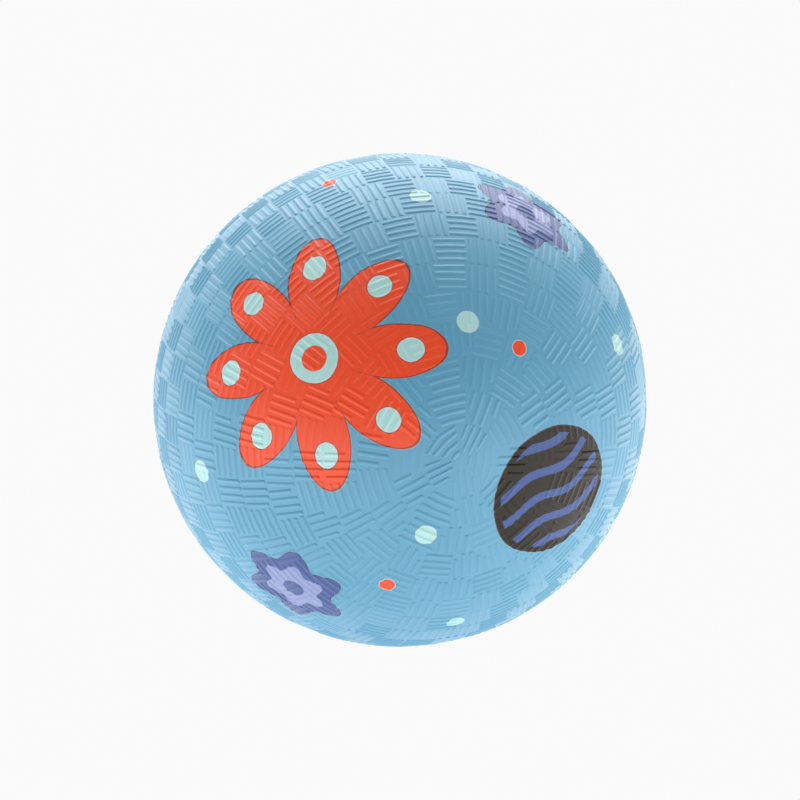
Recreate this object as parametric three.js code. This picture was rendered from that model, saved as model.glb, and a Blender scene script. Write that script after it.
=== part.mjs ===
// Hollow, air-filled rubber play ball.
// Millimetres, +Z up, origin at the centre of the ball.
// The mould axis is Y: the valve sits at the +Y pole, the smooth mould pole at -Y.
import * as THREE from 'three';

// ---- driving dimensions, mm -------------------------------------------------
const R_BALL = 65.0;          // radius over the tops of the moulded ridges
const T_COVER = 1.3;          // outer ply, ridges included
const T_BLADDER = 1.0;        // inner airtight ply
const T_PATCH = 0.8;          // reinforcing washer round the valve
const T_PATCH_EDGE = 0.35;    // its skived rim
const T_FLANGE = 1.3;         // valve flange at the neck
const T_FLANGE_EDGE = 0.5;    // and at its rim
const BOND = 0.12;            // bond line between one layer and the next

const R_BUTTON = 6.0;         // valve button and neck
const BUTTON_CLEAR = 0.15;    // between the neck and the holes in the plies
const BUTTON_CHAMFER = 0.3;
const R_STEM = 3.9;           // stem of the housing, inside the ball
const R_STEM_ROOT = 4.9;
const Y_STEM_END = 46.8;
const R_LIP = 1.3;            // hole in the lip that stops the plug
const T_LIP = 0.8;

const R_PLUG_HEAD = 3.05;
const R_PLUG = 2.15;          // shank of the self-sealing plug
const R_PLUG_TIP = 1.55;
const PLUG_CLEAR = 0.15;      // each side, plug to housing
const PLUG_SINK = 0.25;       // head below the button's face
const T_PLUG_HEAD = 1.5;
const R_FUNNEL = 1.15;        // mouth that guides the needle
const FUNNEL_DEPTH = 1.3;
const R_NEEDLE = 0.35;        // needle channel

const SEGMENTS = 48;          // round the mould axis
const PLUG_SEGMENTS = 24;
const STEP = 7.5;             // degrees of latitude, one row of the weave
const NEAR_VALVE = [8, 11, 14, 17, 20];   // degrees from the valve pole
const PATCH_EDGE = 17;
const FLANGE_EDGE = 11;

// ---- radii of the layers ----------------------------------------------------
const R_COVER_IN = R_BALL - T_COVER;
const R_BLADDER_OUT = R_COVER_IN - BOND;
const R_BLADDER_IN = R_BLADDER_OUT - T_BLADDER;
const R_PATCH_OUT = R_BLADDER_IN - BOND;
const R_PATCH_IN = R_PATCH_OUT - T_PATCH;
const R_FLANGE_OUT = R_PATCH_IN - BOND;
const R_HOLE = R_BUTTON + BUTTON_CLEAR;

// ---- helpers ----------------------------------------------------------------
const rad = THREE.MathUtils.degToRad;
const v2 = (x, y) => new THREE.Vector2(x, y);

// point on a sphere of radius r, at an angle from the valve pole
const onSphere = (r, deg) => v2(deg === 180 ? 0 : r * Math.sin(rad(deg)), r * Math.cos(rad(deg)));

// height of a sphere of radius r over a distance x from the axis
const heightAt = (r, x) => Math.sqrt(r * r - x * x);

// latitudes of a whole shell, from the blind pole to the valve
const shellAngles = [];
for (let a = 180; a > NEAR_VALVE[NEAR_VALVE.length - 1]; a -= STEP) shellAngles.push(a);
for (const a of [...NEAR_VALVE].reverse()) shellAngles.push(a);

function lathe(name, profile, segments, color, roughness) {
  const mesh = new THREE.Mesh(
    new THREE.LatheGeometry(profile, segments),
    new THREE.MeshStandardMaterial({ color, roughness, metalness: 0 }),
  );
  mesh.name = name;
  return mesh;
}

// a whole ply: outer face from the blind pole up to the valve hole, inner face back
function ply(rOut, rIn) {
  const outer = shellAngles.map((a) => onSphere(rOut, a));
  const inner = shellAngles.map((a) => onSphere(rIn, a)).reverse();
  return [
    ...outer,
    v2(R_HOLE, heightAt(rOut, R_HOLE)),
    v2(R_HOLE, heightAt(rIn, R_HOLE)),
    ...inner,
  ];
}

// ---- outer ply --------------------------------------------------------------
const cover = lathe('cover', ply(R_BALL, R_COVER_IN), SEGMENTS, 0x6cacd0, 0.5);

// ---- inner ply --------------------------------------------------------------
const bladder = lathe('bladder', ply(R_BLADDER_OUT, R_BLADDER_IN), SEGMENTS, 0x2a2b2e, 0.75);

// ---- reinforcing washer inside, round the valve -----------------------------
const patchAngles = NEAR_VALVE.filter((a) => a <= PATCH_EDGE);
const patchProfile = [
  v2(R_HOLE, heightAt(R_PATCH_IN, R_HOLE)),
  ...patchAngles.map((a) => {
    const edge = a === PATCH_EDGE;
    return onSphere(edge ? R_PATCH_OUT - T_PATCH_EDGE : R_PATCH_IN, a);
  }),
  ...[...patchAngles].reverse().map((a) => onSphere(R_PATCH_OUT, a)),
  v2(R_HOLE, heightAt(R_PATCH_OUT, R_HOLE)),
];
patchProfile.push(patchProfile[0].clone());
const valvePatch = lathe('valve_patch', patchProfile, SEGMENTS, 0x34353a, 0.8);

// ---- valve housing ----------------------------------------------------------
const yFace = R_BALL;                                   // flush with the ridge tops
const yHeadSeat = yFace - PLUG_SINK - T_PLUG_HEAD - PLUG_CLEAR;
const rBore = R_PLUG + PLUG_CLEAR;
const rCounterbore = R_PLUG_HEAD + PLUG_CLEAR;
const flangeAngles = NEAR_VALVE.filter((a) => a <= FLANGE_EDGE);
const yRoot = heightAt(R_FLANGE_OUT - T_FLANGE, R_BUTTON);

const housingProfile = [
  v2(R_STEM - 0.4, Y_STEM_END),
  v2(R_STEM, Y_STEM_END + 0.4),
  v2(R_STEM, yRoot - 4.0),
  v2(R_STEM_ROOT, yRoot - 0.9),
  v2(R_BUTTON, yRoot),
  // underside of the flange, thinning to its rim
  ...flangeAngles.map((a) => {
    const edge = a === FLANGE_EDGE;
    return onSphere(R_FLANGE_OUT - (edge ? T_FLANGE_EDGE : (T_FLANGE + T_FLANGE_EDGE) / 2 + 0.2), a);
  }),
  // top of the flange, bedded on the washer
  ...[...flangeAngles].reverse().map((a) => onSphere(R_FLANGE_OUT, a)),
  v2(R_BUTTON, heightAt(R_FLANGE_OUT, R_BUTTON)),
  // neck and button
  v2(R_BUTTON, yFace - BUTTON_CHAMFER),
  v2(R_BUTTON - BUTTON_CHAMFER, yFace),
  // counterbore for the plug's head, then the bore, then the lip
  v2(rCounterbore + 0.15, yFace),
  v2(rCounterbore, yFace - 0.15),
  v2(rCounterbore, yHeadSeat),
  v2(rBore, yHeadSeat),
  v2(rBore, Y_STEM_END + T_LIP),
  v2(R_LIP, Y_STEM_END + T_LIP),
  v2(R_LIP, Y_STEM_END),
];
housingProfile.push(housingProfile[0].clone());
const valveHousing = lathe('valve_housing', housingProfile, SEGMENTS, 0x5a97bd, 0.55);

// ---- self-sealing plug ------------------------------------------------------
const yHead = yFace - PLUG_SINK;
const yTip = Y_STEM_END + T_LIP + 0.3;
const plugProfile = [
  v2(R_NEEDLE, yTip),
  v2(R_PLUG_TIP, yTip),
  v2(R_PLUG, yTip + 1.4),
  v2(R_PLUG, yHead - T_PLUG_HEAD),
  v2(R_PLUG_HEAD, yHead - T_PLUG_HEAD),
  v2(R_PLUG_HEAD, yHead - 0.25),
  v2(R_PLUG_HEAD - 0.25, yHead),
  v2(R_FUNNEL, yHead),
  v2(R_FUNNEL * 0.55, yHead - FUNNEL_DEPTH * 0.55),
  v2(R_NEEDLE, yHead - FUNNEL_DEPTH),
  v2(R_NEEDLE, yTip),
];
const valveCore = lathe('valve_core', plugProfile, PLUG_SEGMENTS, 0x2b2a2d, 0.6);

// ---- assembly ---------------------------------------------------------------
const ball = new THREE.Group();
ball.add(cover, bladder, valvePatch, valveHousing, valveCore);

export default ball;
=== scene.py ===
"""Hollow rubber play ball: moulded basket-weave skin, printed motifs, needle valve."""
import math

import bpy
import numpy as np
from mathutils import Matrix, Vector


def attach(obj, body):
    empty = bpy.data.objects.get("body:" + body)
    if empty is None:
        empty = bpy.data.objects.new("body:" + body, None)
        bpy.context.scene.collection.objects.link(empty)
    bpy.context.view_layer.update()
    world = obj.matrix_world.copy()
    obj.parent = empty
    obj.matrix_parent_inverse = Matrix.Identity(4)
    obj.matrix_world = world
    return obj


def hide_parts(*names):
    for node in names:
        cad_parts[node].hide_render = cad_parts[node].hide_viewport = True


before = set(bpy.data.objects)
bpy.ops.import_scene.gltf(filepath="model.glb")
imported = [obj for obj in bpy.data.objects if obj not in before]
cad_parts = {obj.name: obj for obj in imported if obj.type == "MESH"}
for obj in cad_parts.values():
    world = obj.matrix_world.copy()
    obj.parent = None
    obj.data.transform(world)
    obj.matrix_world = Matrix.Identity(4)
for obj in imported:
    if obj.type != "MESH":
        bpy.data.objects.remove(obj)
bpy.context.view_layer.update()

MM = 0.001
R_TOP = 65.0         # tops of the moulded ridges
RIDGE = 0.30         # height of a ridge round the equator of the mould
R_COVER_IN = 63.7
R_HOLE = 6.15        # valve hole in the plies

scene = bpy.context.scene
scene.view_settings.view_transform = "Standard"

# ------------------------------------------------------------------ camera
AZ, EL = math.radians(-13.58), math.radians(13.86)
back = Vector((math.sin(AZ) * math.cos(EL), -math.cos(AZ) * math.cos(EL), math.sin(EL)))
right = Vector((math.cos(AZ), math.sin(AZ), 0.0))
up = back.cross(right)
cam_data = bpy.data.cameras.new("camera")
cam_data.sensor_width = 36.0
cam_data.lens = 177.5
cam_data.clip_start, cam_data.clip_end = 0.05, 50.0
cam = bpy.data.objects.new("camera", cam_data)
scene.collection.objects.link(cam)
cam.matrix_world = Matrix((
    (right.x, up.x, back.x, back.x * 1.04),
    (right.y, up.y, back.y, back.y * 1.04),
    (right.z, up.z, back.z, back.z * 1.04),
    (0, 0, 0, 1),
))
scene.camera = cam


# ------------------------------------------------------------------ node helpers
class Nodes:
    """Short names for the nodes of one material."""

    def __init__(self, name):
        self.mat = bpy.data.materials.new(name)
        self.mat.use_nodes = True
        self.nt = self.mat.node_tree
        self.nt.nodes.clear()
        self.out = self.new("ShaderNodeOutputMaterial")
        self.bsdf = self.new("ShaderNodeBsdfPrincipled")
        self.link(self.bsdf.outputs["BSDF"], self.out.inputs["Surface"])
        self.pos = self.new("ShaderNodeTexCoord").outputs["Object"]

    def new(self, kind):
        return self.nt.nodes.new(kind)

    def link(self, a, b):
        self.nt.links.new(a, b)

    def put(self, socket, value):
        if isinstance(value, bpy.types.NodeSocket):
            self.link(value, socket)
        else:
            socket.default_value = value

    def m(self, op, a, b=None, c=None, clamp=False):
        n = self.new("ShaderNodeMath")
        n.operation = op
        n.use_clamp = clamp
        for i, v in enumerate((a, b, c)):
            if v is not None:
                self.put(n.inputs[i], v)
        return n.outputs[0]

    def v(self, op, a, b=None, scale=None):
        n = self.new("ShaderNodeVectorMath")
        n.operation = op
        self.put(n.inputs[0], a)
        if b is not None:
            self.put(n.inputs[1], b)
        if scale is not None:
            self.put(n.inputs["Scale"], scale)
        return n.outputs["Value"] if op in ("DOT_PRODUCT", "LENGTH", "DISTANCE") else n.outputs["Vector"]

    def step(self, x, lo, hi, a=0.0, b=1.0):
        """Smooth step of x from a at lo to b at hi."""
        n = self.new("ShaderNodeMapRange")
        n.interpolation_type = "SMOOTHSTEP"
        self.put(n.inputs["Value"], x)
        for k, val in zip(("From Min", "From Max", "To Min", "To Max"), (lo, hi, a, b)):
            n.inputs[k].default_value = val
        return n.outputs["Result"]

    def mix(self, f, a, b, blend="MIX"):
        n = self.new("ShaderNodeMix")
        n.data_type = "RGBA"
        n.blend_type = blend
        self.put(n.inputs[0], f)
        self.put(n.inputs[6], a)
        self.put(n.inputs[7], b)
        return n.outputs[2]

    def noise(self, scale, detail=2.0, rough=0.5, vec=None):
        n = self.new("ShaderNodeTexNoise")
        self.link(vec if vec is not None else self.pos, n.inputs["Vector"])
        n.inputs["Scale"].default_value = scale
        n.inputs["Detail"].default_value = detail
        n.inputs["Roughness"].default_value = rough
        return n

    def bump(self, height, strength, distance):
        n = self.new("ShaderNodeBump")
        n.inputs["Strength"].default_value = strength
        n.inputs["Distance"].default_value = distance
        self.link(height, n.inputs["Height"])
        self.link(n.outputs["Normal"], self.bsdf.inputs["Normal"])


def srgb(r, g, b):
    """Display colour, 0 to 255, as linear RGBA."""
    lin = [c / 12.92 if c <= 0.04045 else ((c + 0.055) / 1.055) ** 2.4 for c in (r / 255, g / 255, b / 255)]
    return (*lin, 1.0)


# ------------------------------------------------------------------ print on the cover
def from_view(x, y, side=1.0):
    """Unit direction of a place on the ball, by its place in the front view (-1 to 1); side -1 is the far side."""
    z = math.sqrt(max(0.0, 1 - x * x - y * y)) * side
    d = right * x + up * y + back * z
    return d.normalized()


def axes_at(c, turn):
    """Two directions square to c, turned about it."""
    ref = Vector((0, 0, 1)) if abs(c.z) < 0.9 else Vector((1, 0, 0))
    t1 = ref.cross(c).normalized()
    t2 = c.cross(t1)
    a = math.radians(turn)
    return t1 * math.cos(a) + t2 * math.sin(a), t2 * math.cos(a) - t1 * math.sin(a)


def cover_material():
    n = Nodes("cover_rubber")
    # direction from the centre, with a slight hand-cut wander and ragged ink edges
    wander = n.v("SUBTRACT", n.noise(85, 1.0).outputs["Color"], (0.5, 0.5, 0.5))
    ragged = n.v("SUBTRACT", n.noise(1500, 1.0).outputs["Color"], (0.5, 0.5, 0.5))
    d0 = n.v("NORMALIZE", n.pos)
    ragged = n.v("SCALE", ragged, scale=0.0022)
    d = n.v("NORMALIZE", n.v("ADD", n.v("ADD", d0, n.v("SCALE", wander, scale=0.016)), ragged))
    d_dot = n.v("NORMALIZE", n.v("ADD", n.v("ADD", d0, n.v("SCALE", wander, scale=0.005)), ragged))

    EDGE = 0.0016        # soft edge of the ink, in radii
    SLIP = Vector((0.55, 0.1, -0.83)) * 0.0012       # the colour plates sit a little off the white underprint
    outlines = []
    matt = []

    ORANGE = (0.98, 0.088, 0.025, 1)
    AQUA = (0.49, 0.81, 0.79, 1)
    BLACK = (0.019, 0.013, 0.006, 1)
    VIOLET = (0.070, 0.118, 0.335, 1)
    LILAC = (0.31, 0.36, 0.64, 1)
    PALE = (0.74, 0.78, 0.78, 1)

    # sky-blue rubber with slight cloudiness
    cloud = n.noise(30, 3.0, 0.6).outputs["Fac"]
    colour = n.mix(n.step(cloud, 0.3, 0.7), (0.1325, 0.395, 0.581, 1), (0.145, 0.417, 0.606, 1))

    def lay(mask, paint):
        nonlocal colour
        colour = n.mix(mask, colour, paint)

    def inside(dist, edge=EDGE):
        return n.step(dist, -edge, edge, 1.0, 0.0)

    def length(x, y):
        return n.m("SQRT", n.m("ADD", n.m("MULTIPLY", x, x), n.m("MULTIPLY", y, y)))

    def local(c, turn):
        """Flat coordinates round c, distance from it, and how far the plates slip outwards there."""
        t1, t2 = axes_at(c, turn)
        front = n.v("DOT_PRODUCT", d, tuple(c))
        x = n.v("DOT_PRODUCT", d, tuple(t1))
        y = n.v("DOT_PRODUCT", d, tuple(t2))
        r = length(x, y)
        slip = n.m("DIVIDE", n.m("ADD", n.m("MULTIPLY", x, SLIP.dot(t1)), n.m("MULTIPLY", y, SLIP.dot(t2))), n.m("MAXIMUM", r, 0.001))
        # the far side of the ball is a long way off
        far = n.m("LESS_THAN", front, 0.2)
        r = n.m("MULTIPLY_ADD", far, 5.0, r)
        return x, y, r, slip

    def ink(dist, slip, paint):
        """White underprint that peeps out on one side, then the colour; its outline is kept for later."""
        lay(inside(n.m("SUBTRACT", n.m("SUBTRACT", dist, slip), 0.0003)), PALE)
        lay(inside(dist), paint)
        outlines.append((dist, slip))

    def dot(dist, paint):
        """A dot knocked out of the colour: dark line, pale rim, then its own colour."""
        lay(inside(n.m("SUBTRACT", dist, 0.0062)), (0.16, 0.055, 0.040, 1))
        lay(inside(n.m("SUBTRACT", dist, 0.0034)), PALE)
        lay(inside(n.m("ADD", dist, 0.0022)), paint)

    def flower(c, turn, size, petals):
        x, y, r, slip = local(c, turn)
        a = n.m("WRAP", n.m("ARCTAN2", y, x), math.pi / petals, -math.pi / petals)
        px = n.m("MULTIPLY", r, n.m("COSINE", a))
        py = n.m("MULTIPLY", r, n.m("SINE", a))
        x0, ax, bx = 0.62 * size, 0.38 * size, 0.215 * size * 8 / petals
        e = length(n.m("DIVIDE", n.m("SUBTRACT", px, x0), ax), n.m("DIVIDE", py, bx))
        petal = n.m("MULTIPLY", n.m("SUBTRACT", e, 1.0), bx)
        body = n.m("SMOOTH_MIN", petal, n.m("SUBTRACT", r, 0.36 * size), 0.03)
        ink(body, slip, ORANGE)
        # a pale dot on each petal, and a pale eyelet ring in the middle
        dot(n.m("SUBTRACT", length(n.m("SUBTRACT", px, 0.74 * size), py), 0.088 * size), AQUA)
        dot(n.m("SUBTRACT", r, 0.19 * size), AQUA)
        lay(inside(n.m("SUBTRACT", r, 0.100 * size)), ORANGE)

    def striped_disc(c, turn, size, stripes):
        x, y, r, slip = local(c, turn)
        ink(n.m("SUBTRACT", r, size), slip, BLACK)
        matt.append(inside(n.m("SUBTRACT", r, size)))
        wave = n.m("MULTIPLY", n.m("SINE", n.m("MULTIPLY", x, 5.0 / size)), 0.07 * size)
        t = n.m("MULTIPLY", n.m("ADD", y, wave), stripes / size * 0.5)
        f = n.m("ABSOLUTE", n.m("WRAP", t, 0.5, -0.5))
        band = n.m("MULTIPLY", n.m("SUBTRACT", f, 0.17), size * 2 / stripes)
        lay(inside(n.m("MAXIMUM", band, n.m("SUBTRACT", r, 0.9 * size))), VIOLET)

    def rosette(c, turn, size, lobes):
        x, y, r, slip = local(c, turn)
        a = n.m("COSINE", n.m("MULTIPLY", n.m("ARCTAN2", y, x), float(lobes)))
        edge = n.m("MULTIPLY_ADD", a, 0.14 * size, size * 0.86)
        ink(n.m("SUBTRACT", r, edge), slip, VIOLET)
        lay(inside(n.m("SUBTRACT", r, n.m("MULTIPLY", edge, 0.62))), LILAC)
        lay(inside(n.m("SUBTRACT", r, 0.2 * size)), VIOLET)

    def spot(c, size, paint):
        dist = n.m("SUBTRACT", n.v("DISTANCE", d_dot, tuple(c)), size)
        lay(inside(n.m("SUBTRACT", dist, 0.0026)), PALE)
        lay(inside(dist), paint)

    flower(from_view(-0.33, 0.16), 12, 0.50, 8)
    flower(from_view(0.42, 0.62, -1), 30, 0.50, 8)
    flower(from_view(-0.20, -0.62, -1), 4, 0.50, 8)
    striped_disc(from_view(0.60, -0.36), 24, 0.27, 5)
    striped_disc(from_view(-0.80, 0.30, -1), -30, 0.27, 5)
    striped_disc(from_view(0.52, -0.20, -1), 60, 0.27, 5)
    rosette(from_view(-0.42, -0.74), 10, 0.22, 6)
    rosette(from_view(0.50, 0.74), 40, 0.22, 6)
    rosette(from_view(-0.35, 0.80, -1), 0, 0.22, 6)
    rosette(from_view(-0.85, -0.35, -1), 25, 0.20, 6)
    rosette(from_view(0.62, -0.72, -1), 5, 0.20, 6)
    for x, y, s, size, paint in (
        (0.26, 0.30, 1, 0.042, AQUA), (0.46, 0.20, 1, 0.030, ORANGE), (0.10, -0.52, 1, 0.040, AQUA),
        (-0.05, -0.72, 1, 0.030, ORANGE), (0.86, 0.22, 1, 0.040, AQUA), (-0.78, -0.28, 1, 0.042, AQUA),
        (0.08, 0.80, 1, 0.040, AQUA), (-0.28, 0.86, 1, 0.030, ORANGE), (0.22, -0.88, 1, 0.034, AQUA),
        (0.08, 0.12, -1, 0.042, AQUA), (-0.50, -0.08, -1, 0.030, ORANGE), (0.18, -0.16, -1, 0.030, ORANGE),
        (-0.55, 0.52, -1, 0.036, AQUA), (-0.10, 0.62, -1, 0.030, ORANGE), (0.90, 0.02, -1, 0.040, AQUA),
        (0.78, -0.50, -1, 0.030, ORANGE), (-0.92, 0.0, -1, 0.040, AQUA), (-0.62, -0.76, -1, 0.036, AQUA),
        (0.28, -0.92, -1, 0.034, ORANGE), (0.30, 0.93, -1, 0.034, AQUA),
    ):
        spot(from_view(x, y, s), size, paint)

    # dark line where the ink laps over the bare rubber, stronger where it has slipped past its underprint
    for dist, slip in outlines:
        ring = n.step(n.m("ABSOLUTE", n.m("ADD", dist, 0.0016)), 0.0010, 0.0038, 1.0, 0.0)
        ring = n.m("MULTIPLY", ring, n.step(slip, -0.001, 0.001, 0.85, 0.65))
        colour = n.mix(ring, colour, (0.060, 0.034, 0.028, 1))

    n.link(colour, n.bsdf.inputs["Base Color"])
    # the black ink reflects less than the rest, and more sharply
    dull = n.m("MAXIMUM", n.m("MAXIMUM", matt[0], matt[1]), matt[2])
    n.link(n.m("MULTIPLY_ADD", dull, -0.23, 0.5), n.bsdf.inputs["Specular IOR Level"])

    grain = n.noise(1400, 3.0, 0.6).outputs["Fac"]
    blotch = n.noise(55, 2.0, 0.5).outputs["Fac"]
    rough = n.m("ADD", n.m("MULTIPLY_ADD", grain, 0.08, 0.26), n.m("MULTIPLY", blotch, 0.08))
    n.link(n.m("MULTIPLY_ADD", dull, -0.10, rough), n.bsdf.inputs["Roughness"])
    n.bsdf.inputs["IOR"].default_value = 1.5
    # slight bloom, which pales the rubber at grazing angles
    n.bsdf.inputs["Sheen Weight"].default_value = 0.10
    n.bsdf.inputs["Sheen Roughness"].default_value = 0.35
    n.bump(grain, 0.18, 0.00003)
    return n.mat


def rubber_material(name, dark, light, rough, scale=160.0):
    n = Nodes(name)
    big = n.noise(scale * 0.3, 3.0, 0.6).outputs["Fac"]
    fine = n.noise(scale * 8, 3.0, 0.6).outputs["Fac"]
    n.link(n.mix(n.step(big, 0.3, 0.72), dark, light), n.bsdf.inputs["Base Color"])
    n.link(n.m("MULTIPLY_ADD", fine, 0.16, rough - 0.08), n.bsdf.inputs["Roughness"])
    n.bump(fine, 0.3, 0.00004)
    return n.mat


# ------------------------------------------------------------------ meshes
def make_mesh(name, pts, faces, uvs, kinds=None):
    """Mesh in metres from millimetres. Normals are area-weighted, so that flats stay flat beside fillets.

    kinds, one for each face: 0 for a smooth surface, 1 for the ground of the weave, which keeps the sphere's own
    normals, and 2 for the flank of a ridge, which meets the ground in a crisp foot."""
    co = np.array(pts) * MM
    mesh = bpy.data.meshes.new(name)
    mesh.from_pydata([tuple(p) for p in co], [], faces)
    layer = mesh.uv_layers.new(name="OFBake")
    layer.data.foreach_set("uv", np.array([c for f in uvs for uv in f for c in uv], dtype=np.float32))
    if mesh.validate():
        raise RuntimeError(name + " has faults in its mesh")
    mesh.update()
    mesh.shade_smooth()
    kinds = np.zeros(len(faces), dtype=int) if kinds is None else np.array(kinds)
    sizes = np.array([len(f) for f in faces])
    smooth, flank = np.zeros_like(co), np.zeros_like(co)
    for k in (3, 4):
        for into, kind in ((smooth, 0), (flank, 2)):
            idx = np.array([f for f, c in zip(faces, kinds) if len(f) == k and c == kind], dtype=int).reshape(-1, k)
            p = co[idx]
            if k == 3:
                fn = np.cross(p[:, 1] - p[:, 0], p[:, 2] - p[:, 0])
            else:
                fn = np.cross(p[:, 2] - p[:, 0], p[:, 3] - p[:, 1])
            for i in range(k):
                np.add.at(into, idx[:, i], fn)

    def unit(v):
        return v / np.maximum(np.linalg.norm(v, axis=1, keepdims=True), 1e-20)

    radial, smooth, flank = unit(co), unit(smooth), unit(flank)
    corner = np.array([v for f in faces for v in f])
    of_kind = np.repeat(kinds, sizes)
    normals = np.where((of_kind == 0)[:, None], smooth[corner], np.where((of_kind == 1)[:, None], radial[corner], flank[corner]))
    mesh.normals_split_custom_set(normals.tolist())
    return mesh


def piece(name, mesh, material, body, node):
    ob = bpy.data.objects.new(name, mesh)
    scene.collection.objects.link(ob)
    mesh.materials.append(material)
    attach(ob, body)
    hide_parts(node)
    return ob


# ------------------------------------------------------------------ basket weave of the cover
# Colatitude T runs from the blind pole (-Y) to the valve (+Y); azimuth F runs from +Z towards +X.
ROW = 7.42
CAP = 1.2
EQUATOR = 12
rows_T = [CAP] + [1.0 + ROW * k for k in range(1, EQUATOR)] + [90.0]
rows_T += [180.0 - t for t in reversed(rows_T[1:-1])]        # ends at the smooth pad round the valve
TURN = 3.316
# blocks in the row, where the first one starts, azimuth where the weave steps by one block, first kind
FRONT = [
    (5, 61.5, None, 1), (10, 3.5, None, -1), (15, 22.5, 118.5, 1), (23, 5.5, 162.0, 1),
    (28, 0.0, 12.9, -1), (33, 4.0, -105.1, 1), (37, 5.0, -140.9, 1), (42, 0.5, 171.9, 1),
    (43, 7.0, None, 1), (47, 3.5, 34.1, 1), (52, 6.0, None, -1), (52, 6.0, None, 1),
]
BACK = [
    (52, 6.0, None, -1), (52, 6.0, None, 1), (47, 1.0, -60.0, -1), (43, 3.0, 100.0, 1), (42, 6.0, None, -1),
    (37, 2.0, 70.0, 1), (33, 8.0, None, 1), (28, 5.0, None, -1), (23, 11.0, -40.0, 1), (15, 9.0, 20.0, -1),
    (10, 14.0, None, 1),
]
WEAVE = FRONT + BACK


# where the mould is cut deeper and where it is worn: place, reach in degrees, change
CUT = ((from_view(0.02, -0.51), 31.0, 0.42), (from_view(-0.45, -0.41), 21.0, 0.45), (from_view(0.32, -0.62), 21.0, 0.45),
       (from_view(0.12, 0.24), 26.0, -0.25))


def ridge_height(t, f):
    """Height of the ridges at colatitude t and azimuth f: they are shallow round the poles."""
    x = min(1.0, max(0.0, (min(t, 180.0 - t) - 20.0) / 40.0))
    height = RIDGE * (0.62 + 0.38 * x * x * (3 - 2 * x))
    t, f = math.radians(t), math.radians(f + TURN)
    d = Vector((math.sin(t) * math.sin(f), -math.cos(t), math.sin(t) * math.cos(f)))
    for place, reach, change in CUT:
        edge = math.cos(math.radians(reach))
        x = min(1.0, max(0.0, (d.dot(place) - edge) / (1 - edge)))
        height *= 1 + change * x * x * (3 - 2 * x)
    return height


# section of a block across its four ridges, and of a ridge along its length
FOOT = 0.075         # half the width of a ridge, in rows
PROFILE = ((-FOOT, 0.0), (-0.037, 0.70), (0.0, 0.985), (0.037, 0.70), (FOOT, 0.0))
ACROSS = [(i + 0.5) / 4 + off for i in range(4) for off, _ in PROFILE]
HEIGHT = [h for _ in range(4) for _, h in PROFILE]
ALONG = [0.024, 0.046, 0.5, 0.954, 0.976]
ENDS = [0.0, 1.0, 1.0, 1.0, 0.0]


def octahedral(q, sign):
    """Place on an unfolded octahedron of unit direction q; the blind pole is in the middle."""
    x, y, z = q[0], q[2], -q[1]
    s = abs(x) + abs(y) + abs(z)
    x, y = x / s, y / s
    if z < 0:
        x, y = (1 - abs(y)) * sign[0], (1 - abs(x)) * sign[1]
    return x, y


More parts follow.
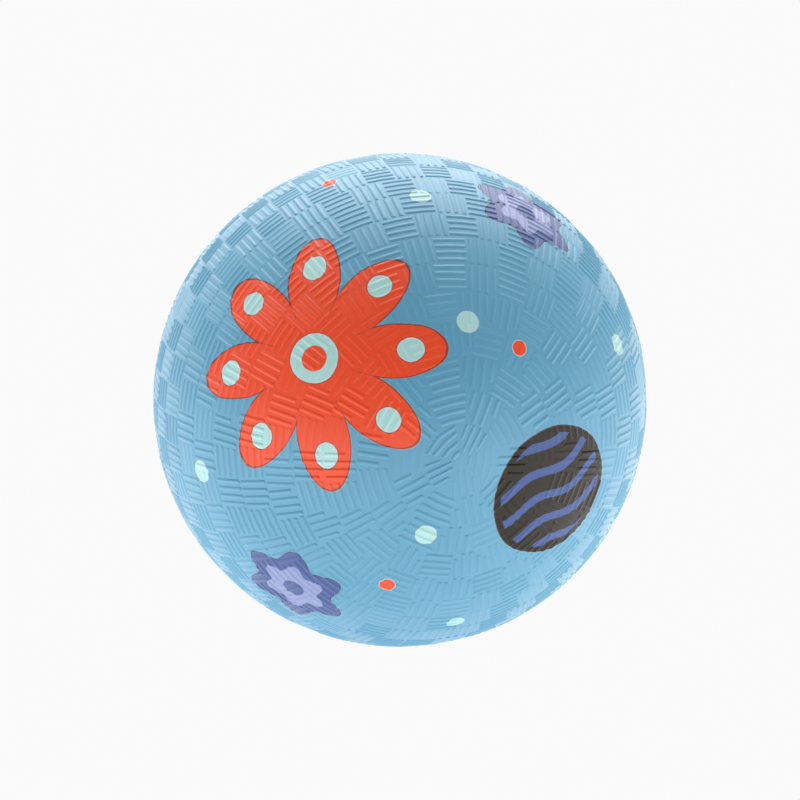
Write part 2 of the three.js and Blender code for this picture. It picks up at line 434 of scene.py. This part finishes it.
def build_cover():
    rng = np.random.RandomState(11)
    pts, tris, kinds = [], [], []

    def put(t, f, h=0.0, r=None):
        """Vertex at colatitude t and azimuth f, degrees; h is 0 on the ground and 1 on the crest of a ridge."""
        r = R_TOP - ridge_height(t, f) * (1 - h) if r is None else r
        t, f = math.radians(t), math.radians(f + TURN)
        s = math.sin(t) * r
        pts.append((s * math.sin(f), -math.cos(t) * r, s * math.cos(f)))
        return len(pts) - 1

    def zip_up(outer, t_out, inner, t_in):
        """Triangles between two polylines that run the same way, the inner one on the left."""
        i = j = 0
        while i < len(outer) - 1 or j < len(inner) - 1:
            if j == len(inner) - 1 or (i < len(outer) - 1 and t_out[i + 1] <= t_in[j + 1]):
                tris.append((outer[i], outer[i + 1], inner[j]))
                i += 1
            else:
                tris.append((outer[i], inner[j + 1], inner[j]))
                j += 1

    def shape(p, q, r):
        """How poor a triangle is; one that faces inwards is worse than any other."""
        ux, uy, uz = q[0] - p[0], q[1] - p[1], q[2] - p[2]
        vx, vy, vz = r[0] - p[0], r[1] - p[1], r[2] - p[2]
        nx, ny, nz = uy * vz - uz * vy, uz * vx - ux * vz, ux * vy - uy * vx
        size = math.sqrt(nx * nx + ny * ny + nz * nz) + 1e-9
        edges = ux * ux + uy * uy + uz * uz + vx * vx + vy * vy + vz * vz
        edges += (ux - vx) ** 2 + (uy - vy) ** 2 + (uz - vz) ** 2
        return edges / size + (0.0 if nx * p[0] + ny * p[1] + nz * p[2] > 0 else 1e7)

    def knit(outer, inner):
        """Triangles between two loops, the inner one inside the outer, in the best shapes; their first points are joined."""
        outer, inner = outer + outer[:1], inner + inner[:1]
        a, b = [pts[v] for v in outer], [pts[v] for v in inner]
        best = [[(0.0, 0)] * len(b) for _ in a]
        for i in range(len(a)):
            for j in range(len(b)):
                ways = []
                if i:
                    ways.append((best[i - 1][j][0] + shape(a[i - 1], a[i], b[j]), 1))
                if j:
                    ways.append((best[i][j - 1][0] + shape(a[i], b[j], b[j - 1]), 0))
                if ways:
                    best[i][j] = min(ways)
        i, j = len(a) - 1, len(b) - 1
        while i or j:
            if best[i][j][1]:
                tris.append((outer[i - 1], outer[i], inner[j]))
                i -= 1
            else:
                tris.append((outer[i], inner[j], inner[j - 1]))
                j -= 1

    # rings between the rows: the corners and side points of the blocks above and below
    rings = []
    for k, t in enumerate(rows_T):
        fs = []
        for row in (k - 1, k):
            if 0 <= row < len(WEAVE):
                count, first = WEAVE[row][:2]
                pitch = 360 / count
                fs += [((first + pitch * i / 2) % 360, i % 2 == 0) for i in range(2 * count)]
        if k == len(rows_T) - 1:
            fs += [(7.5 * i, False) for i in range(48)]
        fs.sort()
        kept = []
        for f, corner in fs:
            if kept and f - kept[-1][0] < (0.03 if corner and kept[-1][1] else 0.5):
                if corner and not kept[-1][1]:
                    kept[-1] = (f, True)
                continue
            kept.append((f, corner))
        if kept[0][0] + 360 - kept[-1][0] < 0.03:
            kept.pop()
        rings.append([(f, put(t, f)) for f, _ in kept])

    def stretch(ring, f0, f1):
        """Vertices of a ring from azimuth f0 on to f1."""
        span = f1 - f0
        found = []
        for f, v in ring:
            g = (f - f0 + 0.04) % 360 - 0.04
            if g <= span + 0.04:
                found.append((g, v))
        return [v for _, v in sorted(found)]

    for row, (count, first, flip, kind) in enumerate(WEAVE):
        t0, t1 = rows_T[row], rows_T[row + 1]
        tc = (t0 + t1) / 2
        sin_tc = math.sin(math.radians(tc))
        pitch = 360 / count
        w_mid = pitch * sin_tc
        rho = 1 - min(math.sin(math.radians(t0)), math.sin(math.radians(t1))) / sin_tc
        # points down the sides of the blocks
        sides = [[put(t0 + (t1 - t0) * q, first + pitch * i) for q in (0.25, 0.5, 0.75)] for i in range(count)]
        for i in range(count):
            f0, f1 = first + pitch * i, first + pitch * (i + 1)
            fc = (f0 + f1) / 2
            wrapped = (fc + 180) % 360 - 180
            s = kind * (1 if math.floor((wrapped - first) / pitch) % 2 == 0 else -1)
            if flip is not None and wrapped > flip:
                s = -s
            straight = s > 0            # ridges along the row
            # every ridge was cut into the mould by hand
            lean = float(np.clip(rng.normal(0, 0.009), -0.013, 0.013))
            off = np.clip(rng.normal(0, 0.006, 4), -0.009, 0.009)
            tilt = np.clip(rng.normal(0, 0.005, 4), -0.007, 0.007) + lean
            # and a few blocks of it are worn
            worn = float(rng.uniform(0.35, 0.8)) if rng.uniform() < 0.14 else 1.0
            tall = rng.uniform(0.84, 1.0, 4) * worn
            near, far = rng.uniform(-0.006, 0.014, 4), rng.uniform(-0.014, 0.006, 4)
            half = 0.475
            starts, stops = [0.0] * 4, [1.0] * 4
            if straight:
                keep = (half - 0.5 * (1 - rho) + 0.02) / (half * max(rho, 1e-6))
                keep = min(1.0, max(keep, 0.6))
            else:
                # these stay parallel: near the poles the outer ones stop short of the narrowing sides
                keep = 0.12
                for ridge in range(4):
                    reach = abs((ridge + 0.5) / 4 - 0.5) + FOOT + abs(off[ridge]) + abs(tilt[ridge])
                    fit = (reach * (1 - keep) + 0.012) / (0.5 - reach * keep)
                    t_fit = math.degrees(math.asin(min(1.0, fit * sin_tc)))
                    if tc < 90:
                        starts[ridge] = min(0.6, max(0.0, (t_fit - t0) / (t1 - t0)))
                    else:
                        stops[ridge] = max(0.4, min(1.0, (180 - t_fit - t0) / (t1 - t0)))
            grid = []
            for iy in range(len(ACROSS) if straight else len(ALONG)):
                line = []
                for ix in range(len(ALONG) if straight else len(ACROSS)):
                    ia, il = (iy, ix) if straight else (ix, iy)
                    ridge = ia // len(PROFILE)
                    if il < 2:
                        along = starts[ridge] + ALONG[il] + near[ridge]
                    elif il > 2:
                        along = stops[ridge] - 1 + ALONG[il] + far[ridge]
                    else:
                        along = (starts[ridge] + stops[ridge]) / 2
                    across = ACROSS[ia] + off[ridge] + tilt[ridge] * (along - 0.5) * 2
                    h = HEIGHT[ia] * ENDS[il] * tall[ridge]
                    xx, yy = (along, across) if straight else (across, along)
                    t = t0 + (t1 - t0) * yy
                    wide = math.sin(math.radians(t)) / sin_tc
                    span = w_mid * (1 + keep * (wide - 1))        # width of the block's pattern here
                    arc = (xx - 0.5) * span
                    f = fc + arc / math.sin(math.radians(t))
                    if straight:
                        # straight, not following the parallel, but inside the row and clear of the next ridge
                        w2 = math.radians(w_mid) / 2
                        bow = (math.radians(arc) ** 2 - w2 * w2 / 3) / math.tan(math.radians(max(tc, 4.0))) / 2
                        axis = yy - PROFILE[ia % len(PROFILE)][0]
                        room = max(0.0, min(axis, 1 - axis, 0.175) - FOOT - 0.022) * (t1 - t0)
                        t += min(room, max(-room, 0.7 * math.degrees(bow)))
                    line.append(put(t, f, h))
                grid.append(line)
            ny, nx = len(grid), len(grid[0])
            for iy in range(ny - 1):
                for ix in range(nx - 1):
                    tris.append((grid[iy][ix], grid[iy][ix + 1], grid[iy + 1][ix + 1], grid[iy + 1][ix]))
                    ia = iy if straight else ix
                    kinds.append(1 if ia % len(PROFILE) == len(PROFILE) - 1 else 2)
            # border of the block, zipped to its pattern
            top = stretch(rings[row], f0 % 360, f0 % 360 + pitch)
            bot = stretch(rings[row + 1], f0 % 360, f0 % 360 + pitch)
            border = [top, sides[(i + 1) % count], bot[::-1], sides[i][::-1]]
            edge = [grid[0][:-1], [g[-1] for g in grid[:-1]], grid[-1][:0:-1], [g[0] for g in grid[:0:-1]]]
            if tc < 90:
                # start from the corner at the wide end
                border = [bot[:1] + sides[i][::-1], top, sides[(i + 1) % count], bot[:0:-1]]
                edge = [edge[3]] + edge[:3]
            knit(sum(border, []), sum(edge, []))
            kinds += [1] * (len(tris) - len(kinds))

    def closed(ring):
        """A ring of (azimuth, vertex) as a closed polyline."""
        return [v for _, v in ring] + [ring[0][1]], [f for f, _ in ring] + [ring[0][0] + 360]

    def even_ring(t, count, h=0.0, r=None):
        return [(360 * i / count, put(t, 360 * i / count, h, r)) for i in range(count)]

    def join(below, above):
        """Strip from the ring nearer the blind pole to the next one."""
        b, tb = closed(sorted(below))
        a, ta = closed(sorted(above))
        zip_up(b, tb, a, ta)

    # smooth cap at the blind pole
    ring = even_ring(0.6, 10)
    pole = put(0, 0)
    for i in range(len(ring)):
        tris.append((pole, ring[(i + 1) % len(ring)][1], ring[i][1]))
    join(ring, rings[0])

    # smooth raised pad round the valve, then the hole and the inside
    hole = lambda r: 180 - math.degrees(math.asin(R_HOLE / r))
    pad = [even_ring(180 - a, 96, h) for a, h in (
        (8.20, 0.0), (8.12, 0.11), (8.02, 0.54), (7.92, 0.86), (7.78, 0.99), (7.55, 1.0), (6.4, 1.0))]
    pad.append(even_ring(hole(R_TOP) - 0.18, 96, r=R_TOP - 0.01))
    pad.append(even_ring(hole(R_TOP - 0.06) - 0.05, 96, r=R_TOP - 0.06))
    pad.append(even_ring(hole(R_TOP - 0.18), 96, r=R_TOP - 0.18))
    outer_count = None
    pad.append(even_ring(hole(R_COVER_IN), 96, r=R_COVER_IN))
    last = rings[-1]
    for k, ring in enumerate(pad):
        if k == len(pad) - 1:
            outer_count = len(tris)
        join(last, ring)
        last = ring
    for t in range(168, 0, -8):
        ring = even_ring(float(t), 48, r=R_COVER_IN)
        join(last, ring)
        last = ring
    inner_pole = put(0, 0, r=R_COVER_IN)
    for i in range(len(last)):
        tris.append((inner_pole, last[i][1], last[(i + 1) % len(last)][1]))

    # map for the outside: unfolded octahedron; the inside lies in a strip along the edge
    unit = np.array(pts)
    unit /= np.linalg.norm(unit, axis=1, keepdims=True)
    uvs = []
    for k, face in enumerate(tris):
        mid = unit[list(face)].mean(axis=0)
        if k < outer_count:
            sign = (1 if mid[0] >= 0 else -1, 1 if mid[2] >= 0 else -1)
            flat = [octahedral(unit[v], sign) for v in face]
            uvs.append([(0.5 + 0.496 * x, 0.4755 + 0.4715 * y) for x, y in flat])
        else:
            turn = math.atan2(mid[0], mid[2])
            row = []
            for v in face:
                x, y, z = unit[v]
                a = turn if math.hypot(x, z) < 1e-6 else math.atan2(x, z)
                a = turn + (a - turn + math.pi) % (2 * math.pi) - math.pi
                row.append((0.03 + 0.94 * (a / (2 * math.pi) + 0.5), 0.955 + 0.04 * math.acos(max(-1, min(1, y))) / math.pi))
            uvs.append(row)
    kinds += [0] * (len(tris) - len(kinds))
    return make_mesh("cover", pts, tris, uvs, kinds)


cover = piece("cover_skin", build_cover(), cover_material(), "ball", "cover")


# ------------------------------------------------------------------ turned pieces: valve and inner plies
def soften(points, radii, steps=5):
    """A closed outline with its corners rounded."""
    out = []
    n = len(points)
    for i, (p, rad) in enumerate(zip(points, radii)):
        p = Vector(p)
        a, b = Vector(points[i - 1]), Vector(points[(i + 1) % n])
        u, w = a - p, b - p
        lu, lw = u.length, w.length
        u, w = u / lu, w / lw
        turn = math.acos(max(-1, min(1, u.dot(w))))
        if rad <= 0 or turn > math.radians(175):
            out.append(tuple(p))
            continue
        cut = min(rad / math.tan(turn / 2), 0.45 * lu, 0.45 * lw)
        s, e = p + u * cut, p + w * cut
        for k in range(steps + 1):
            q = k / steps
            out.append(tuple(s * (1 - q) ** 2 + p * (2 * q * (1 - q)) + e * q ** 2))
    return out


def turned(name, outline, segs):
    """Solid of revolution about Y from an outline of (radius, y) that runs round the section clockwise, seen with Y up."""
    pts, faces, uvs = [], [], []
    n = len(outline)
    run = [0.0]
    for i in range(n):
        run.append(run[-1] + math.dist(outline[i], outline[(i + 1) % n]))
    for r, y in outline:
        for k in range(segs):
            a = 2 * math.pi * k / segs
            pts.append((r * math.sin(a), y, r * math.cos(a)))
    for i in range(n):
        j = (i + 1) % n
        on_i, on_j = outline[i][0] < 1e-9, outline[j][0] < 1e-9
        v0, v1 = 0.01 + 0.98 * run[i] / run[n], 0.01 + 0.98 * run[i + 1] / run[n]
        for k in range(segs):
            m = (k + 1) % segs
            u0, u1 = 0.01 + 0.98 * k / segs, 0.01 + 0.98 * (k + 1) / segs
            a, b, c, e = i * segs + k, i * segs + m, j * segs + m, j * segs + k
            if on_i and on_j:
                continue
            if on_i:
                faces.append((i * segs, c, e))
                uvs.append([((u0 + u1) / 2, v0), (u1, v1), (u0, v1)])
            elif on_j:
                faces.append((a, b, j * segs))
                uvs.append([(u0, v0), (u1, v0), ((u0 + u1) / 2, v1)])
            else:
                faces.append((a, b, c, e))
                uvs.append([(u0, v0), (u1, v0), (u1, v1), (u0, v1)])
    # points on the axis are shared
    used = sorted({v for f in faces for v in f})
    new = {v: i for i, v in enumerate(used)}
    return make_mesh(name, [pts[v] for v in used], [tuple(new[v] for v in f) for f in faces], uvs)


def on_sphere(r, deg):
    return r * math.sin(math.radians(deg)), r * math.cos(math.radians(deg))


def height_at(r, x):
    return math.sqrt(r * r - x * x)


# valve housing: stem, flange under the washer, neck, flush button with a fine ring round its face
housing = [
    ((3.9, 46.8), 0.4), ((3.9, 55.94), 1.2), ((4.9, 59.04), 1.0), ((6.0, 59.94), 0.6),
    (on_sphere(60.44, 8), 0.0), (on_sphere(61.04, 11), 0.16), (on_sphere(61.54, 11), 0.16),
    (on_sphere(61.54, 9.5), 0.0), (on_sphere(61.54, 8), 0.0), (on_sphere(61.54, 6.6), 0.0), ((6.0, 61.247), 0.12),
    ((6.0, 65.0), 0.32), ((5.30, 65.0), 0.07), ((5.18, 64.86), 0.07), ((5.00, 64.86), 0.07), ((4.88, 65.0), 0.07),
    ((3.2, 65.0), 0.16), ((3.2, 63.1), 0.05), ((2.3, 63.1), 0.06), ((2.3, 47.6), 0.1), ((1.3, 47.6), 0.06), ((1.3, 46.8), 0.12),
]
housing_outline = soften([p for p, _ in housing], [r for _, r in housing])
valve_mat = rubber_material("valve_rubber", (0.105, 0.300, 0.455, 1), (0.130, 0.345, 0.510, 1), 0.42)
piece("valve_boot", turned("valve_boot", housing_outline, 96), valve_mat, "ball", "valve_housing")

# self-sealing plug: waisted tip, shank, head with the funnel that guides the needle
plug = [
    ((0.35, 47.9), 0.05), ((1.55, 47.9), 0.25), ((2.15, 49.3), 0.6), ((2.15, 63.25), 0.12), ((3.05, 63.25), 0.12),
    ((3.05, 64.75), 0.28), ((1.62, 64.75), 0.10), ((1.50, 64.66), 0.08), ((1.22, 64.66), 0.22), ((0.60, 64.02), 0.5), ((0.35, 63.40), 0.3),
]
plug_outline = soften([p for p, _ in plug], [r for _, r in plug])
plug_mat = rubber_material("plug_rubber", (0.018, 0.018, 0.020, 1), (0.034, 0.033, 0.035, 1), 0.5)
piece("valve_plug_core", turned("valve_plug_core", plug_outline, 72), plug_mat, "valve_plug", "valve_core")

# inner ply and washer
STEP = 2.5
shell_out = [on_sphere(63.58, a) for a in np.arange(180.0, 6.0, -STEP)]
shell_in = [on_sphere(62.58, a) for a in np.arange(7.5, 180.1, STEP)]
shell_out[0], shell_in[-1] = (0.0, -63.58), (0.0, -62.58)
bladder_outline = shell_out + [(R_HOLE, height_at(63.58, R_HOLE)), (R_HOLE, height_at(62.58, R_HOLE))] + shell_in
bladder_mat = rubber_material("bladder_rubber", (0.020, 0.020, 0.023, 1), (0.046, 0.045, 0.047, 1), 0.75)
piece("inner_ply", turned("inner_ply", bladder_outline, 96), bladder_mat, "ball", "bladder")

washer = [((R_HOLE, height_at(61.66, R_HOLE)), 0.1)]
washer += [(on_sphere(61.66, a), 0.0) for a in (7.5, 9, 11, 12.5, 14)]
washer += [(on_sphere(62.11, 17), 0.12), (on_sphere(62.46, 17), 0.1)]
washer += [(on_sphere(62.46, a), 0.0) for a in (15.5, 14, 12.5, 11, 9, 7.5)]
washer += [((R_HOLE, height_at(62.46, R_HOLE)), 0.1)]
washer_outline = soften([p for p, _ in washer], [r for _, r in washer])
patch_mat = rubber_material("patch_rubber", (0.027, 0.028, 0.031, 1), (0.052, 0.052, 0.056, 1), 0.8)
piece("valve_washer", turned("valve_washer", washer_outline, 96), patch_mat, "ball", "valve_patch")

# ------------------------------------------------------------------ stage
# levels of the light: by degrees from the axis of the main light, then walls, fills and floor
STOPS = ((180, 0.0), (140, 0.02), (110, 0.20), (90, 0.03), (75, 0.08), (60, 0.45), (45, 0.35), (30, 2.3), (15, 4.2), (0, 3.55))
WALL_LEFT, WALL_BACK = 0.47, 0.63
FILL_RIGHT, FILL_LEFT = 0.24, 0.385
FLOOR_NEAR, FLOOR_RIGHT, FLOOR_LEFT, FLOOR_FRONT = 0.92, 1.22, 0.99, 0.44
BACKDROP = 1.2
floor_mesh = bpy.data.meshes.new("floor")
S = 6.0
floor_mesh.from_pydata([(-S, -S, -R_TOP * MM), (S, -S, -R_TOP * MM), (S, S, -R_TOP * MM), (-S, S, -R_TOP * MM)], [], [(0, 1, 2, 3)])
floor = bpy.data.objects.new("floor", floor_mesh)
scene.collection.objects.link(floor)
fm = bpy.data.materials.new("pale_floor")
fm.use_nodes = True
ft = fm.node_tree
fb = ft.nodes["Principled BSDF"]
fb.inputs["Base Color"].default_value = (0.50, 0.50, 0.50, 1)
fb.inputs["Roughness"].default_value = 0.9
fb.inputs["Specular IOR Level"].default_value = 0.1
fb.inputs["Emission Color"].default_value = (1, 1, 1, 1)

floor_mesh.materials.append(fm)

# white studio: a broad soft light above and behind, bright walls and floor at the sides, and the dim room in front
world = bpy.data.worlds.new("studio")
scene.world = world
world.use_nodes = True
wt = world.node_tree
wt.nodes.clear()
ahead = Vector((math.sin(AZ), -math.cos(AZ), 0.0))        # level, from the ball to the viewer
overhead = Vector((0.0, 0.0, 1.0))


def put_node(tree, kind, **props):
    nd = tree.nodes.new(kind)
    for k, val in props.items():
        setattr(nd, k, val)
    return nd


def dot_with(tree, vec, axis):
    nd = put_node(tree, "ShaderNodeVectorMath", operation="DOT_PRODUCT")
    tree.links.new(vec, nd.inputs[0])
    nd.inputs[1].default_value = tuple(axis)
    return nd.outputs["Value"]


def ease(tree, x, lo, hi, a, b):
    nd = put_node(tree, "ShaderNodeMapRange", interpolation_type="SMOOTHSTEP")
    tree.links.new(x, nd.inputs["Value"])
    for k, val in zip(("From Min", "From Max", "To Min", "To Max"), (lo, hi, a, b)):
        nd.inputs[k].default_value = val
    return nd.outputs["Result"]


def calc(tree, op, *values):
    nd = put_node(tree, "ShaderNodeMath", operation=op)
    for socket, val in zip(nd.inputs, values):
        if isinstance(val, bpy.types.NodeSocket):
            tree.links.new(val, socket)
        else:
            socket.default_value = val
    return nd.outputs[0]


def plain_to_camera(tree, lit, output, kind, level):
    """The camera sees an even white; everything else is lit by the real thing."""
    white = put_node(tree, kind)
    white.inputs["Color"].default_value = (1, 1, 1, 1)
    white.inputs["Strength"].default_value = level
    pick = put_node(tree, "ShaderNodeMixShader")
    tree.links.new(put_node(tree, "ShaderNodeLightPath").outputs["Is Camera Ray"], pick.inputs[0])
    tree.links.new(lit, pick.inputs[1])
    tree.links.new(white.outputs[0], pick.inputs[2])
    tree.links.new(pick.outputs[0], output.inputs["Surface"])


# light from the floor: even near the ball, stronger to its right and left than in front, and little from behind
spot_on_floor = put_node(ft, "ShaderNodeVectorMath", operation="MULTIPLY")
ft.links.new(put_node(ft, "ShaderNodeTexCoord").outputs["Object"], spot_on_floor.inputs[0])
spot_on_floor.inputs[1].default_value = (1, 1, 0)
away = put_node(ft, "ShaderNodeVectorMath", operation="LENGTH")
ft.links.new(spot_on_floor.outputs["Vector"], away.inputs[0])
bearing = put_node(ft, "ShaderNodeVectorMath", operation="NORMALIZE")
ft.links.new(spot_on_floor.outputs["Vector"], bearing.inputs[0])
sectors = [ease(ft, dot_with(ft, bearing.outputs["Vector"], axis), -0.3, 1.0, 0.0, level)
           for axis, level in ((right, FLOOR_RIGHT), (-right, FLOOR_LEFT), (ahead, FLOOR_FRONT))]
wide = calc(ft, "ADD", calc(ft, "ADD", sectors[0], sectors[1]), sectors[2])
shine = calc(ft, "ADD", ease(ft, away.outputs["Value"], 0.06, 0.16, FLOOR_NEAR, 0.0),
             calc(ft, "MULTIPLY", ease(ft, away.outputs["Value"], 0.06, 0.16, 0.0, 1.0), wide))
ft.links.new(shine, fb.inputs["Emission Strength"])
plain_to_camera(ft, fb.outputs["BSDF"], ft.nodes["Material Output"], "ShaderNodeEmission", 0.957)

# light from the room
direction = put_node(wt, "ShaderNodeTexCoord").outputs["Generated"]
LIGHT_EL = math.radians(50)
ramp = put_node(wt, "ShaderNodeValToRGB")
toward_light = ahead * -math.cos(LIGHT_EL) + overhead * math.sin(LIGHT_EL)
wt.links.new(calc(wt, "MULTIPLY_ADD", dot_with(wt, direction, toward_light), 0.5, 0.5), ramp.inputs["Fac"])
GAIN = 5.0
el = ramp.color_ramp.elements
el[0].position, el[1].position = 0.0, 1.0
el[0].color = (STOPS[0][1] / GAIN,) * 3 + (1,)
el[1].color = (STOPS[-1][1] / GAIN,) * 3 + (1,)
for deg, strength in STOPS[1:-1]:
    el.new((math.cos(math.radians(deg)) + 1) / 2).color = (strength / GAIN,) * 3 + (1,)
low = ease(wt, dot_with(wt, direction, overhead), 0.0, 0.4, 1.0, 0.0)
walls = calc(wt, "ADD", ease(wt, dot_with(wt, direction, right * -0.77 - ahead * 0.64), 0.5, 1.0, 0.0, WALL_LEFT),
             ease(wt, dot_with(wt, direction, -ahead), 0.0, 1.0, 0.0, WALL_BACK))
fills = calc(wt, "ADD", ease(wt, dot_with(wt, direction, right * 0.87 + overhead * 0.5), 0.4, 1.0, 0.0, FILL_RIGHT),
             ease(wt, dot_with(wt, direction, right * -0.87 + overhead * 0.5), 0.4, 1.0, 0.0, FILL_LEFT))
fills = calc(wt, "ADD", fills, ease(wt, dot_with(wt, direction, -back), 0.88, 1.0, 0.0, BACKDROP))
level = calc(wt, "ADD", calc(wt, "MULTIPLY_ADD", ramp.outputs["Color"], GAIN, fills), calc(wt, "MULTIPLY", low, walls))
room = put_node(wt, "ShaderNodeBackground")
room.inputs["Color"].default_value = (1, 1, 1, 1)
wt.links.new(level, room.inputs["Strength"])
plain_to_camera(wt, room.outputs[0], put_node(wt, "ShaderNodeOutputWorld"), "ShaderNodeBackground", 0.957)
